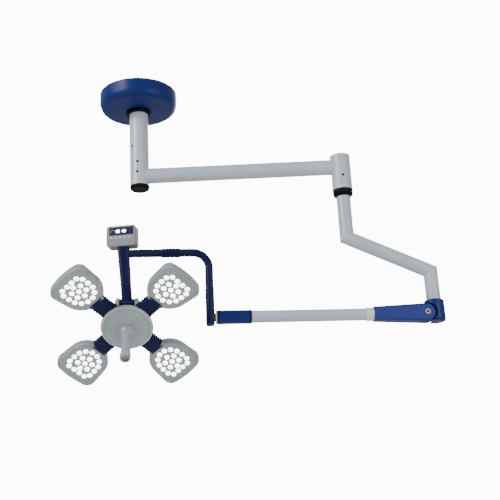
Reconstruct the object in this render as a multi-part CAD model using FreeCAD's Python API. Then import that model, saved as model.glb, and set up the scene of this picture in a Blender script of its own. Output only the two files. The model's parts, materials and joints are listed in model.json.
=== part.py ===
import FreeCAD, Part
import math
import os

# Four-petal LED operating light on a ceiling column.
# Millimetres, +Z up, origin at the centre of the ceiling face, +X along the main arm.
V = FreeCAD.Vector

# Fits
RUN = 0.05          # radial running clearance of a shaft in its bush
SLIP = 0.05         # radial clearance of pieces pushed together and locked
GAP = 0.35          # gap between pieces that move past each other

# Ceiling unit
PLATE_R = 148.0
PLATE_T = 10.0
CABLE_BORE_R = 20.0
ANCHOR_PCD = 240.0
ANCHOR_R = 6.5
CANOPY_R = 169.0
CANOPY_LOW_R = 160.0
CANOPY_H = 78.0
CANOPY_WALL = 2.5
COLUMN_R = 41.0
COLUMN_WALL = 4.0
FLANGE_R = 76.0
FLANGE_T = 10.0
FLANGE_PCD = 120.0
FLANGE_BOLT_R = 5.0
COLLAR_W = 13.0       # canopy collar, from the column outwards
COLLAR_H = 13.0

# Swivels of the column and of the outer hub
SPINDLE_R = 22.0
BUSH_R = 30.0
BUSH_L = 24.0
SEAM_Z = -275.0     # joint line between column and rotating sleeve
SLEEVE_LOW_Z = -437.0
COLUMN_CAP_H = 17.0
COLUMN_SCREW_R = 5.0
COLUMN_SCREW_AT = -131.0    # bearing of the column's set screw, degrees from +X
COLUMN_SCREW_Z = SEAM_Z + 19

# Main arm
ARM_Z = -390.0
ARM_R = 33.0
ARM_WALL = 3.0
HUB_X = 875.0
HUB_R = 43.0
HUB_TOP_Z = -344.0
HUB_SEAM_Z = -474.0
CRANK_HEAD_Z = -501.0
COLLAR_LOW_Z = -531.0
BRAKE_R = 6.0
# Brake screws: swivel's X, height, bearing in degrees from +X, radius of the wall they sit in
BRAKES = [(0.0, -335.0, -96.0, COLUMN_R), (0.0, -382.0, -98.0, COLUMN_R), (HUB_X, -443.0, -86.0, HUB_R)]

# Crank arm
CRANK_R = 30.0
CRANK_WALL = 3.0
BEND1_Z = -716.0
CRANK_RUN = 336.0
BEND2_Z = -883.0
CRANK_END_Z = -1010.0
CRANK_X = HUB_X + CRANK_RUN
CRANK_SCREW_R = 4.0
CRANK_SCREW_Z = CRANK_END_Z + 16
CRANK_SCREWS_AT = (-160, -20)   # bearings from +X

# Knuckle and spring arm, in the arm's own plane: x measured from the crank axis
ARM_YAW = 4.2
ARM_RISE = 0.7      # spring arm above level at rest
KNUCKLE_R = 41.0
KNUCKLE_H = 90.0
KNUCKLE_PIN_R = 14.0
PIVOT_X = -38.0
PIVOT_Z = -1062.0
PIVOT_PIN_R = 8.0
TONGUE_W = 24.0
TILT_UP = 25.0
TILT_DOWN = 45.0
CAM_BASE = 30.0     # distance from pivot to plunger face at rest
CAM_LEAD = 8.0      # plunger travel per radian of tilt
COVER_R = 38.0
COVER_W = 60.0
COVER_END = 222.0
COVER_END_R = 28.0
TUBE_R = 25.0
TUBE_WALL = 3.5
SLEEVE_R = 28.5
SLEEVE_START = 724.0
SLEEVE_END = 865.0
WASHER_T = 5.0
BOW_SPINDLE_R = 12.0
SPRING_START = 92.0
SPRING_END = 300.0

# Bow and yoke
BOW_AT = 891.0      # upright's distance from the pivot
BOW_X = PIVOT_X - BOW_AT
BOW_TOP_Z = PIVOT_Z + 277.0
BOW_LOW_Z = PIVOT_Z - 33.0
BOW_R = 16.5
BOW_WALL = 2.5
BOW_BEND_R = 67.0
YOKE_X = BOW_X - 334.0
YOKE_TOP_Z = BOW_TOP_Z + 26.0
YOKE_SEAM_Z = -925.0
YOKE_TOP_W = 50.0
YOKE_SEAM_W = 43.0
YOKE_LOW_W = 42.0
YOKE_TOP_OUT = 17.0  # the arm leans away from the bow: offset of its top from the swivel axis
YOKE_SEAM_OUT = 5.0
YOKE_D = 35.0
YOKE_PIN_R = 10.0
YOKE_PIN_L = 44.0
HINGE_Z = -994.0
BARREL_R = 16.0
BARREL_W = 62.0
TILT_PIN_R = 8.0

# Control box
BOX_W = 124.0
BOX_D = 56.0
BOX_H = 90.0
BOX_X = YOKE_X - 20.0
BOX_YAW = -13.0     # the box is fixed on the yoke turned a little
BOX_WALL = 3.0
WINDOW_W = 102.0
WINDOW_H = 34.0
BUTTON_W = 12.0
BUTTON_H = 8.0
BUTTON_PITCH = 19.0
BUTTON_COUNT = 5
BUTTON_Z = YOKE_TOP_Z + 37.0

# Lamp head, in its own frame: x across, y up the face, z out of the face
TILT = 50.0         # face direction below the horizon at rest
HINGE_BACK = 92.0   # hinge behind the rim plane
HINGE_UP = 58.0     # hinge above the hub centre
EAR_T = 14.0
EAR_R = 20.0
HUB_CUP_R = 103.0
HUB_CUP_LOW_R = 70.0
HUB_CUP_BACK = -62.0
HUB_CUP_WALL = 3.0
RIM_R = 105.0
RIM_BORE_R = 99.0
DOME_H = 27.0
BOSS_R = 34.0
HANDLE_SEAM = 60.0
HANDLE_END = 195.0
HANDLE_SHAFT_R = 10.0
PETAL_AT = 250.0
PETAL_CANT = 5.0    # each petal leans in towards the head's axis
PETAL_DEPTH = 46.0
PETAL_WALL = 3.0
INNER_C, INNER_R = -12.0, 86.0
OUTER_C, OUTER_T, OUTER_R = 50.0, 57.0, 35.0
LENS_R = 10.5
LENS_INNER_RING = 29.0
LENS_GAP = 4.0      # between the inner and the outer ring of lenses
LENS_INNER_COUNT = 6
LENS_OUTER_COUNT = 14
NECK_W = 72.0
NECK_TOP = -6.0
NECK_T = 36.0
NECK_RIBS = 4


def save(name, shape):
    shape.exportStep("parts/" + name + ".step")


def disc(r, z0, z1, x=0.0, y=0.0):
    return Part.makeCylinder(r, abs(z1 - z0), V(x, y, min(z0, z1)))


def ring(r, bore, z0, z1, x=0.0, y=0.0):
    return disc(r, z0, z1, x, y).cut(disc(bore, z0, z1, x, y))


def rod(r, start, end):
    along = end.sub(start)
    return Part.makeCylinder(r, along.Length, start, along)


def tube(r, bore, start, end):
    return rod(r, start, end).cut(rod(bore, start, end))


def turned(points, x=0.0, y=0.0):
    # Solid of revolution about a vertical axis from (radius, height) points.
    loop = [V(r, 0, z) for r, z in points]
    face = Part.Face(Part.makePolygon(loop + loop[:1]))
    solid = face.revolve(V(0, 0, 0), V(0, 0, 1), 360)
    solid.translate(V(x, y, 0))
    return solid


def box(x0, x1, y0, y1, z0, z1):
    return Part.makeBox(x1 - x0, y1 - y0, z1 - z0, V(x0, y0, z0))


def prism_y(points, half):
    # Polygon of (x, z) points extruded from y = -half to y = +half.
    loop = [V(x, -half, z) for x, z in points]
    return Part.Face(Part.makePolygon(loop + loop[:1])).extrude(V(0, 2 * half, 0))


def round_rect(width, depth, radius, x, y, z):
    # Closed wire of a rounded rectangle lying in a horizontal plane.
    w, d, c = width / 2, depth / 2, radius * (1 - math.sqrt(0.5))
    edges = []
    for turn in range(4):
        a, b = (w, d) if turn % 2 == 0 else (d, w)
        spin = FreeCAD.Rotation(V(0, 0, 1), 90 * turn)
        pts = [V(a, -b + radius, 0), V(a, b - radius, 0), V(a - c, b - c, 0), V(a - radius, b, 0)]
        pts = [spin.multVec(p).add(V(x, y, z)) for p in pts]
        edges += [Part.makeLine(pts[0], pts[1]), Part.Arc(pts[1], pts[2], pts[3]).toShape()]
    return Part.Wire(edges)


def in_arm_plane(shape):
    # From the spring arm's plane to the light's frame.
    shape = shape.copy()
    shape.rotate(V(0, 0, 0), V(0, 0, 1), ARM_YAW)
    shape.translate(V(CRANK_X, 0, 0))
    return shape


def on_arm(shape):
    # From the level arm plane to the raised spring arm, then to the light's frame.
    shape = shape.copy()
    shape.rotate(V(PIVOT_X, 0, PIVOT_Z), V(0, 1, 0), ARM_RISE)
    return in_arm_plane(shape)


def in_box(shape):
    # The control box and its keys are turned about the yoke.
    shape = shape.copy()
    shape.rotate(V(YOKE_X, 0, 0), V(0, 0, 1), BOX_YAW)
    return on_arm(shape)


def in_head(shape):
    # From the lamp head's own frame to the light's frame.
    t = math.radians(TILT)
    shape = shape.copy()
    shape.rotate(V(0, 0, 0), V(1, 0, 0), 90 + TILT)
    y = -HINGE_BACK * math.cos(t) + HINGE_UP * math.sin(t)
    z = HINGE_Z - HINGE_BACK * math.sin(t) - HINGE_UP * math.cos(t)
    shape.translate(V(YOKE_X, y, z))
    return on_arm(shape)


def set_screw(r, tip, outer, x, z, angle):
    # Radial set screw between two radii about a vertical axis at x, with a round-bottomed socket.
    out = V(math.cos(math.radians(angle)), math.sin(math.radians(angle)), 0)
    base = V(x, 0, z)
    body = rod(r, base + out * tip, base + out * outer)
    socket = rod(r * 0.5, base + out * (outer - r * 0.9), base + out * (outer + 1))
    return body.cut(socket)


def radial_hole(r, tip, outer, x, z, angle):
    out = V(math.cos(math.radians(angle)), math.sin(math.radians(angle)), 0)
    base = V(x, 0, z)
    return rod(r, base + out * tip, base + out * outer)


# ---- ceiling unit ----

def flange_spots():
    for k in range(4):
        a = math.radians(45 + 90 * k)
        yield FLANGE_PCD / 2 * math.cos(a), FLANGE_PCD / 2 * math.sin(a)


def ceiling_plate():
    plate = ring(PLATE_R, CABLE_BORE_R, -PLATE_T, 0)
    for k in range(6):
        a = math.radians(30 + 60 * k)
        x, y = ANCHOR_PCD / 2 * math.cos(a), ANCHOR_PCD / 2 * math.sin(a)
        plate = plate.cut(disc(ANCHOR_R, -PLATE_T - 1, 1, x, y))
    for x, y in flange_spots():
        plate = plate.cut(disc(FLANGE_BOLT_R + SLIP, -PLATE_T - 1, -2, x, y))
    return plate


def column_tube():
    low = -PLATE_T - FLANGE_T
    shape = disc(FLANGE_R, low, -PLATE_T).fuse(disc(COLUMN_R, SEAM_Z, low))
    shape = shape.cut(disc(COLUMN_R - COLUMN_WALL, SEAM_Z - 1, low))
    shape = shape.cut(disc(CABLE_BORE_R - 2, low - 1, 0))
    for x, y in flange_spots():
        shape = shape.cut(disc(FLANGE_BOLT_R + 0.5, low - 1, 0, x, y))
    hole = radial_hole(COLUMN_SCREW_R + SLIP, COLUMN_R - 10, COLUMN_R + 5, 0, COLUMN_SCREW_Z, COLUMN_SCREW_AT)
    return shape.cut(hole).removeSplitter()


def flange_bolts():
    low = -PLATE_T - FLANGE_T
    bolts = []
    for x, y in flange_spots():
        bolt = disc(FLANGE_BOLT_R, low, -3, x, y).fuse(disc(FLANGE_BOLT_R + 3, low - 10, low, x, y))
        bolts.append(bolt.cut(disc(FLANGE_BOLT_R - 1, low - 11, low - 5, x, y)).removeSplitter())
    return Part.makeCompound(bolts)


def canopy():
    r, low, h, w = CANOPY_R, CANOPY_LOW_R, CANOPY_H, CANOPY_WALL
    neck = COLUMN_R + 1
    outer = [(r - w, -1), (r, -1), (r, -h * 0.35), (r - 1.5, -h * 0.62), (r - 4.5, -h * 0.8),
             (low - 2, -h * 0.93), (low - 12, -h * 0.985), (low - 26, -h), (neck, -h - 6)]
    inner = [(neck, -h - 6 + w), (low - 26, -h + w), (low - 12.5, -h * 0.985 + w),
             (low - 3.5, -h * 0.93 + w), (r - 7, -h * 0.8 + w * 0.5),
             (r - 1.5 - w, -h * 0.6), (r - w, -h * 0.35)]
    return turned(outer + inner)


def canopy_collar():
    top, bore, r = -CANOPY_H - 6, COLUMN_R + SLIP, COLUMN_R + COLLAR_W
    return turned([(bore, top), (r, top), (r, top - COLLAR_H + 3), (r - 3, top - COLLAR_H), (bore, top - COLLAR_H)])


def power_supply():
    case = box(86, 138, -44, 44, -PLATE_T - 42, -PLATE_T - 2)
    case = case.makeFillet(3, [e for e in case.Edges if abs(e.tangentAt(0).z) > 0.9])
    feet = [box(90, 134, y, y + 12, -PLATE_T - 2, -PLATE_T) for y in (-44, 32)]
    return case.fuse(feet).removeSplitter()


def column_spindle():
    plug = COLUMN_R - COLUMN_WALL - SLIP
    shape = disc(plug, SEAM_Z, SEAM_Z + 36).fuse(disc(SPINDLE_R, SLEEVE_LOW_Z - 13, SEAM_Z))
    shape = shape.cut(disc(10, SLEEVE_LOW_Z - 15, SEAM_Z + 37))
    hole = radial_hole(COLUMN_SCREW_R + SLIP, plug - 6, plug + 5, 0, COLUMN_SCREW_Z, COLUMN_SCREW_AT)
    return shape.cut(hole).removeSplitter()


def column_spindle_nut():
    top = SLEEVE_LOW_Z - 2 - GAP
    spin = FreeCAD.Rotation(V(0, 0, 1), 60)
    corners = [V(SPINDLE_R + 9, 0, top)]
    for _ in range(6):
        corners.append(spin.multVec(corners[-1]))
    nut = Part.Face(Part.makePolygon(corners[:6] + corners[:1]))
    return nut.extrude(V(0, 0, -10)).cut(disc(SPINDLE_R + SLIP, top + 1, top - 11))


def column_set_screw():
    tip = COLUMN_R - COLUMN_WALL - 5.8
    return set_screw(COLUMN_SCREW_R, tip, COLUMN_R - 0.4, 0, COLUMN_SCREW_Z, COLUMN_SCREW_AT)


# ---- main arm ----

def main_arm_sleeve():
    top = SEAM_Z - GAP
    shape = disc(COLUMN_R, SLEEVE_LOW_Z, top).cut(disc(BUSH_R + SLIP, SLEEVE_LOW_Z - 1, top + 1))
    for x, z, angle, r in BRAKES[:2]:
        shape = shape.cut(radial_hole(BRAKE_R + SLIP, 20, r + 5, x, z, angle))
    return shape


def bush(z0, x):
    return ring(BUSH_R, SPINDLE_R + RUN, z0, z0 + BUSH_L, x)


def swivel_bushes():
    top = SEAM_Z - GAP
    spots = [(top - BUSH_L - 2, 0), (SLEEVE_LOW_Z, 0),
             (HUB_TOP_Z - 16 - BUSH_L, HUB_X), (HUB_SEAM_Z, HUB_X)]
    bushes = [bush(z, x) for z, x in spots]
    thrust = ring(BUSH_R + 4, SPINDLE_R + 1, SLEEVE_LOW_Z - 2, SLEEVE_LOW_Z)
    return Part.makeCompound(bushes + [thrust])


def column_end_cap():
    top, low = SLEEVE_LOW_Z, SLEEVE_LOW_Z - COLUMN_CAP_H
    return turned([(COLUMN_R - 3, top), (COLUMN_R + 0.6, top), (COLUMN_R + 0.6, low + 7),
                   (COLUMN_R - 1.5, low + 2), (COLUMN_R - 6, low), (0, low), (0, low + 3),
                   (COLUMN_R - 7, low + 3), (COLUMN_R - 3, low + 7)])


def main_arm_tube():
    shape = tube(ARM_R, ARM_R - ARM_WALL, V(0, 0, ARM_Z), V(HUB_X, 0, ARM_Z))
    shape = shape.cut(disc(COLUMN_R, ARM_Z - 60, ARM_Z + 60))
    return shape.cut(disc(HUB_R, ARM_Z - 60, ARM_Z + 60, HUB_X))


def outer_hub():
    x = HUB_X
    shape = ring(HUB_R, BUSH_R + SLIP, HUB_SEAM_Z, HUB_TOP_Z, x)
    shape = shape.cut(disc(HUB_R - 5, HUB_TOP_Z - 14, HUB_TOP_Z + 1, x))
    bx, z, angle, r = BRAKES[2]
    return shape.cut(radial_hole(BRAKE_R + SLIP, 20, r + 5, bx, z, angle))


def hub_cap():
    z, r = HUB_TOP_Z, HUB_R
    return turned([(0, z - 2), (r - 8, z - 2), (r - 8, z - 5), (r - 5 - SLIP, z - 5), (r - 5 - SLIP, z),
                   (r + 0.5, z), (r + 0.5, z + 2.5), (r - 4, z + 4.5), (r - 16, z + 6), (0, z + 6.5)],
                  HUB_X)


def brake_screws():
    return Part.makeCompound([set_screw(BRAKE_R, SPINDLE_R + GAP, r - 0.4, x, z, angle)
                              for x, z, angle, r in BRAKES])


# ---- crank arm ----

def crank_spindle():
    x = HUB_X
    shape = disc(SPINDLE_R, HUB_SEAM_Z - GAP, HUB_TOP_Z - 4.5 - GAP - 0.5, x)
    shape = shape.fuse(disc(HUB_R, CRANK_HEAD_Z, HUB_SEAM_Z - GAP, x))
    return shape.cut(disc(10, CRANK_HEAD_Z - 1, HUB_TOP_Z, x)).removeSplitter()


def crank_spindle_nut():
    top = HUB_TOP_Z - 5 - GAP
    return ring(BUSH_R - GAP, SPINDLE_R + SLIP, HUB_TOP_Z - 16 + GAP, top, HUB_X)


def crank_collar():
    bore, r = CRANK_R + SLIP, HUB_R
    return turned([(bore, CRANK_HEAD_Z), (r, CRANK_HEAD_Z), (r, COLLAR_LOW_Z + 14),
                   (r - 3, COLLAR_LOW_Z + 6), (r - 9, COLLAR_LOW_Z), (bore, COLLAR_LOW_Z)], HUB_X)


def mitred(r):
    # Crank centre line as three round bars that meet on mitre planes.
    a, b = V(HUB_X, 0, CRANK_HEAD_Z), V(HUB_X, 0, BEND1_Z)
    c, d = V(CRANK_X, 0, BEND2_Z), V(CRANK_X, 0, CRANK_END_Z)
    slope = math.atan2(CRANK_RUN, BEND1_Z - BEND2_Z)
    k = math.tan(slope / 2)
    far, wide = 400.0, 150.0
    upper = rod(r, a, b - V(0, 0, 60))
    upper = upper.cut(prism_y([(b.x - wide, b.z - k * wide), (b.x + wide, b.z + k * wide),
                               (b.x + wide, b.z - far), (b.x - wide, b.z - far)], wide))
    along = (c - b).normalize()
    slant = rod(r, b - along * 60, c + along * 60)
    slant = slant.cut(prism_y([(b.x - wide, b.z - k * wide), (b.x + wide, b.z + k * wide),
                               (b.x + wide, b.z + far), (b.x - wide, b.z + far)], wide))
    slant = slant.cut(prism_y([(c.x - wide, c.z - k * wide), (c.x + wide, c.z + k * wide),
                               (c.x + wide, c.z - far), (c.x - wide, c.z - far)], wide))
    lower = rod(r, c + V(0, 0, 60), d)
    lower = lower.cut(prism_y([(c.x - wide, c.z - k * wide), (c.x + wide, c.z + k * wide),
                               (c.x + wide, c.z + far), (c.x - wide, c.z + far)], wide))
    return upper.fuse([slant, lower])


def crank_tube():
    shape = mitred(CRANK_R).cut(mitred(CRANK_R - CRANK_WALL)).removeSplitter()
    for angle in CRANK_SCREWS_AT:
        shape = shape.cut(radial_hole(CRANK_SCREW_R + SLIP, 10, CRANK_R + 5, CRANK_X, CRANK_SCREW_Z, angle))
    return shape


def crank_bush():
    shape = ring(CRANK_R - CRANK_WALL - SLIP, KNUCKLE_PIN_R + RUN, CRANK_END_Z, CRANK_END_Z + 52, CRANK_X)
    for angle in CRANK_SCREWS_AT:
        shape = shape.cut(radial_hole(CRANK_SCREW_R + SLIP, 10, CRANK_R + 5, CRANK_X, CRANK_SCREW_Z, angle))
    return shape


def crank_set_screws():
    tip, outer = KNUCKLE_PIN_R - 2, CRANK_R + 1.2
    return Part.makeCompound([set_screw(CRANK_SCREW_R, tip, outer, CRANK_X, CRANK_SCREW_Z, angle)
                              for angle in CRANK_SCREWS_AT])


# ---- knuckle ----

def knuckle_spindle():
    r, top = KNUCKLE_PIN_R, CRANK_END_Z + 50
    shape = turned([(0, CRANK_END_Z - 24), (r, CRANK_END_Z - 24), (r, CRANK_SCREW_Z - 4.5),
                    (r - 2.5, CRANK_SCREW_Z - 4.5), (r - 2.5, CRANK_SCREW_Z + 4.5),
                    (r, CRANK_SCREW_Z + 4.5), (r, top - 2), (r - 2, top), (0, top)])
    return in_arm_plane(shape)


def cam_points():
    # Flat-faced follower cam: each degree of tilt moves the plunger by the same amount.
    pts = []
    for deg in range(int(-TILT_DOWN) - 15, int(TILT_UP) + 16, 5):
        a = math.radians(deg)
        h = CAM_BASE - GAP - CAM_LEAD * a
        pts.append((PIVOT_X - h * math.cos(a) - CAM_LEAD * math.sin(a),
                    PIVOT_Z + h * math.sin(a) - CAM_LEAD * math.cos(a)))
    return pts


def knuckle_housing():
    top = CRANK_END_Z - GAP
    low = top - KNUCKLE_H
    r = KNUCKLE_R
    body = turned([(0, low), (r - 9, low), (r - 3, low + 3), (r, low + 9), (r, top - 3), (r - 2, top),
                   (0, top)])
    clear = COVER_R + 0.8
    pivot = V(PIVOT_X, -60, PIVOT_Z)
    pocket = Part.makeCylinder(clear, 120, pivot, V(0, 1, 0))
    up, down = math.radians(TILT_UP), math.radians(TILT_DOWN)
    far = 200.0
    hull = [(PIVOT_X, PIVOT_Z),
            (PIVOT_X + clear * math.sin(up), PIVOT_Z + clear * math.cos(up)),
            (PIVOT_X + clear * math.sin(up) - far * math.cos(up),
             PIVOT_Z + clear * math.cos(up) + far * math.sin(up)),
            (PIVOT_X - far, PIVOT_Z),
            (PIVOT_X + clear * math.sin(down) - far * math.cos(down),
             PIVOT_Z - clear * math.cos(down) - far * math.sin(down)),
            (PIVOT_X + clear * math.sin(down), PIVOT_Z - clear * math.cos(down))]
    rise = (V(PIVOT_X, 0, PIVOT_Z), V(0, 1, 0), ARM_RISE)
    pocket = pocket.fuse(prism_y(hull, 60))
    pocket.rotate(*rise)
    body = body.cut(pocket)
    half = TONGUE_W / 2
    tongue = Part.makeCylinder(21, TONGUE_W, V(PIVOT_X, -half, PIVOT_Z), V(0, 1, 0))
    tongue = tongue.fuse(prism_y(cam_points() + [(PIVOT_X, PIVOT_Z)], half))
    tongue = tongue.fuse(box(PIVOT_X, PIVOT_X + 52, -half, half, PIVOT_Z - 18, PIVOT_Z + 18))
    tongue.rotate(*rise)
    body = body.fuse(tongue)
    body = body.cut(Part.makeCylinder(PIVOT_PIN_R + SLIP, 120, pivot, V(0, 1, 0)))
    body = body.cut(disc(KNUCKLE_PIN_R + SLIP, CRANK_END_Z - 24, top + 1))
    return in_arm_plane(body.removeSplitter())


def pivot_pin():
    half = COVER_W / 2 - 1
    return in_arm_plane(rod(PIVOT_PIN_R, V(PIVOT_X, -half, PIVOT_Z), V(PIVOT_X, half, PIVOT_Z)))


def pivot_caps():
    caps = []
    for side in (-1, 1):
        face = side * (COVER_W / 2 + GAP)
        washer = rod(10.5, V(PIVOT_X, face, PIVOT_Z), V(PIVOT_X, face + side * 2, PIVOT_Z))
        head = rod(6, V(PIVOT_X, side * (COVER_W / 2 - 1), PIVOT_Z), V(PIVOT_X, face + side * 4, PIVOT_Z))
        socket = rod(3, V(PIVOT_X, face + side * 1.5, PIVOT_Z), V(PIVOT_X, face + side * 5, PIVOT_Z))
        caps.append(washer.fuse(head).cut(socket).removeSplitter())
    return in_arm_plane(Part.makeCompound(caps))


# ---- spring arm ----

def along(d, y=0.0, z=0.0):
    # Point on the spring arm at distance d from the pivot.
    return V(PIVOT_X - d, y, PIVOT_Z + z)


def cover_block(r, half, end_r, end_half):
    # Round end at the pivot tapering to the tube end, with its long edges rounded.
    lean = math.asin((r - end_r) / COVER_END)
    s, c = math.sin(lean), math.cos(lean)
    side = [(PIVOT_X - r * s, PIVOT_Z + r * c), (PIVOT_X - COVER_END, PIVOT_Z + end_r),
            (PIVOT_X - COVER_END, PIVOT_Z - end_r), (PIVOT_X - r * s, PIVOT_Z - r * c)]
    shape = prism_y(side, half)
    shape = shape.fuse(Part.makeCylinder(r, 2 * half, V(PIVOT_X, -half, PIVOT_Z), V(0, 1, 0)))
    plan = [V(PIVOT_X + r + 1, -half, -3000), V(PIVOT_X - 40, -half, -3000),
            V(PIVOT_X - COVER_END, -end_half, -3000), V(PIVOT_X - COVER_END, end_half, -3000),
            V(PIVOT_X - 40, half, -3000), V(PIVOT_X + r + 1, half, -3000)]
    keep = Part.Face(Part.makePolygon(plan + plan[:1])).extrude(V(0, 0, 3000))
    return shape.common(keep).removeSplitter()


def arm_cover():
    shape = cover_block(COVER_R, COVER_W / 2, COVER_END_R, COVER_END_R)
    end_x = PIVOT_X - COVER_END
    edges = [e for e in shape.Edges if abs(e.CenterOfMass.y) > 5 and abs(e.CenterOfMass.x - end_x) > 2
             and abs(e.tangentAt(e.FirstParameter).y) < 0.6 and e.CenterOfMass.x > end_x
             and max(abs(v.Point.z - PIVOT_Z) for v in e.Vertexes) > 20]
    shape = shape.makeFillet(9, edges)
    shape = shape.cut(rod(TUBE_R + SLIP, along(70), along(COVER_END + 1)))
    shape = shape.cut(rod(TUBE_R - TUBE_WALL, along(30), along(72)))
    slot = Part.makeCylinder(COVER_R + 8, TONGUE_W + 1.2, V(PIVOT_X, -TONGUE_W / 2 - 0.6, PIVOT_Z), V(0, 1, 0))
    shape = shape.cut(slot)
    pin = rod(PIVOT_PIN_R + RUN, V(PIVOT_X, -60, PIVOT_Z), V(PIVOT_X, 60, PIVOT_Z))
    return on_arm(shape.cut(pin))


def arm_cover_ring():
    r = COVER_END_R
    shape = tube(r, TUBE_R + SLIP, along(COVER_END), along(COVER_END + 30))
    shape = shape.makeChamfer(2, [e for e in shape.Edges if e.Length > 6 * (r - 1)
                                  and abs(e.CenterOfMass.x - along(COVER_END + 30).x) < 0.1])
    return on_arm(shape)


def arm_tube():
    return on_arm(tube(TUBE_R, TUBE_R - TUBE_WALL, along(72), along(SLEEVE_END - 4)))


def front_sleeve():
    shape = rod(SLEEVE_R, along(SLEEVE_START), along(SLEEVE_END))
    shape = shape.cut(rod(TUBE_R + SLIP, along(SLEEVE_START - 1), along(SLEEVE_END - 4)))
    shape = shape.cut(rod(BOW_SPINDLE_R + 0.5, along(SLEEVE_END - 5), along(SLEEVE_END + 1)))
    return on_arm(shape)


def bow_bearing():
    return on_arm(tube(TUBE_R - TUBE_WALL - SLIP, BOW_SPINDLE_R + RUN, along(SLEEVE_END - 74),
                             along(SLEEVE_END - 4)))


def spring_washer():
    return on_arm(tube(SLEEVE_R - 1, BOW_SPINDLE_R + 0.5, along(SLEEVE_END), along(SLEEVE_END + WASHER_T)))


def balance_spring():
    wire_r, coil_r, turns = 2.6, 14.5, 14
    length = SPRING_END - SPRING_START - 2 * wire_r
    path = Part.makeHelix(length / turns, length, coil_r)
    section = Part.Wire(Part.Circle(V(coil_r, 0, 0), V(0, 1, 0), wire_r).toShape())
    coil = Part.Wire(path.Edges).makePipeShell([section], True, True)
    coil.rotate(V(0, 0, 0), V(0, 1, 0), -90)
    coil.translate(along(SPRING_START + wire_r))
    return on_arm(coil)


def spring_adjuster():
    disk = rod(TUBE_R - TUBE_WALL - SLIP, along(SPRING_END), along(SPRING_END + 14))
    stem = rod(8, along(SPRING_END + 14), along(SPRING_END + 44))
    return on_arm(disk.fuse(stem).cut(rod(4, along(SPRING_END - 1), along(SPRING_END + 45))).removeSplitter())


def spring_plunger():
    nose = rod(12, along(CAM_BASE), along(SPRING_START - 14))
    head = rod(TUBE_R - TUBE_WALL - RUN * 2, along(SPRING_START - 14), along(SPRING_START))
    guide = rod(9, along(SPRING_START), along(SPRING_START + 60))
    return on_arm(nose.fuse([head, guide]).removeSplitter())


# ---- bow, yoke and control box ----

def bow_spindle():
    shape = rod(BOW_SPINDLE_R, along(SLEEVE_END - 70), along(BOW_AT))
    shape = shape.fuse(rod(16, along(SLEEVE_END + WASHER_T + GAP), along(BOW_AT)))
    return on_arm(shape.cut(disc(BOW_R, PIVOT_Z - 40, PIVOT_Z + 40, BOW_X)).removeSplitter())


def bow_bar(r, low):
    # Upright, quarter bend and rail of the bow as one round bar.
    corner = V(BOW_X - BOW_BEND_R, 0, BOW_TOP_Z - BOW_BEND_R)
    circle = Part.Face(Part.Wire(Part.Circle(V(BOW_X, 0, corner.z), V(0, 0, 1), r).toShape()))
    bend = circle.revolve(corner, V(0, -1, 0), 90)
    upright = rod(r, V(BOW_X, 0, low), V(BOW_X, 0, corner.z))
    rail = rod(r, V(corner.x, 0, BOW_TOP_Z), V(YOKE_X, 0, BOW_TOP_Z))
    return upright.fuse([bend, rail])


def bow_tube():
    shape = bow_bar(BOW_R, BOW_LOW_Z).cut(bow_bar(BOW_R - BOW_WALL, BOW_LOW_Z + 4))
    return on_arm(shape.cut(yoke_blank()).removeSplitter())


def yoke_blank():
    top = round_rect(YOKE_TOP_W, YOKE_D, 13, YOKE_X - YOKE_TOP_OUT, 0, YOKE_TOP_Z)
    seam = round_rect(YOKE_SEAM_W, YOKE_D, 13, YOKE_X - YOKE_SEAM_OUT, 0, YOKE_SEAM_Z)
    return Part.makeLoft([top, seam], True, True)


def yoke_arm():
    bore = disc(YOKE_PIN_R + RUN, YOKE_SEAM_Z - 1, YOKE_SEAM_Z + YOKE_PIN_L + 2, YOKE_X)
    return on_arm(yoke_blank().cut(bore))


def yoke_swivel():
    top = YOKE_SEAM_Z - GAP
    upper = round_rect(YOKE_SEAM_W, YOKE_D, 13, YOKE_X - YOKE_SEAM_OUT, 0, top)
    lower = round_rect(YOKE_LOW_W, BARREL_R * 2 - 2, 13, YOKE_X, 0, HINGE_Z)
    half = BARREL_W / 2
    shape = Part.makeLoft([lower, upper], True, True)
    shape = shape.fuse(rod(BARREL_R, V(YOKE_X - half, 0, HINGE_Z), V(YOKE_X + half, 0, HINGE_Z)))
    shape = shape.fuse(disc(YOKE_PIN_R, top, YOKE_SEAM_Z + YOKE_PIN_L, YOKE_X))
    pin = rod(TILT_PIN_R + SLIP, V(YOKE_X - 60, 0, HINGE_Z), V(YOKE_X + 60, 0, HINGE_Z))
    return on_arm(shape.cut(pin).removeSplitter())


def tilt_pin():
    half = BARREL_W / 2 + GAP + EAR_T + 0.5
    shape = rod(TILT_PIN_R, V(YOKE_X - half, 0, HINGE_Z), V(YOKE_X + half, 0, HINGE_Z))
    for side in (-1, 1):
        start = V(YOKE_X + side * half, 0, HINGE_Z)
        shape = shape.fuse(rod(TILT_PIN_R + 4, start, start + V(side * 3, 0, 0)))
    return on_arm(shape.removeSplitter())


def box_outline(inset, y0, y1):
    # Rounded block standing on the yoke, its large faces square to y.
    wire = round_rect(BOX_W - 2 * inset, BOX_H - 2 * inset, 12 - inset, 0, 0, 0)
    solid = Part.Face(wire).extrude(V(0, 0, y1 - y0))
    solid.rotate(V(0, 0, 0), V(1, 0, 0), -90)
    solid.translate(V(BOX_X, y0, YOKE_TOP_Z + BOX_H / 2))
    return solid


def control_housing():
    half = BOX_D / 2
    shape = box_outline(0, -half, half)
    back = [e for e in shape.Edges if abs(e.CenterOfMass.y - half) < 0.1]
    shape = shape.makeFillet(6, back)
    return in_box(shape.cut(box_outline(BOX_WALL, -half - 1, half - BOX_WALL)))


def button_spots():
    for k in range(BUTTON_COUNT):
        yield BOX_X - 2 + (k - (BUTTON_COUNT - 1) / 2) * BUTTON_PITCH


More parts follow.
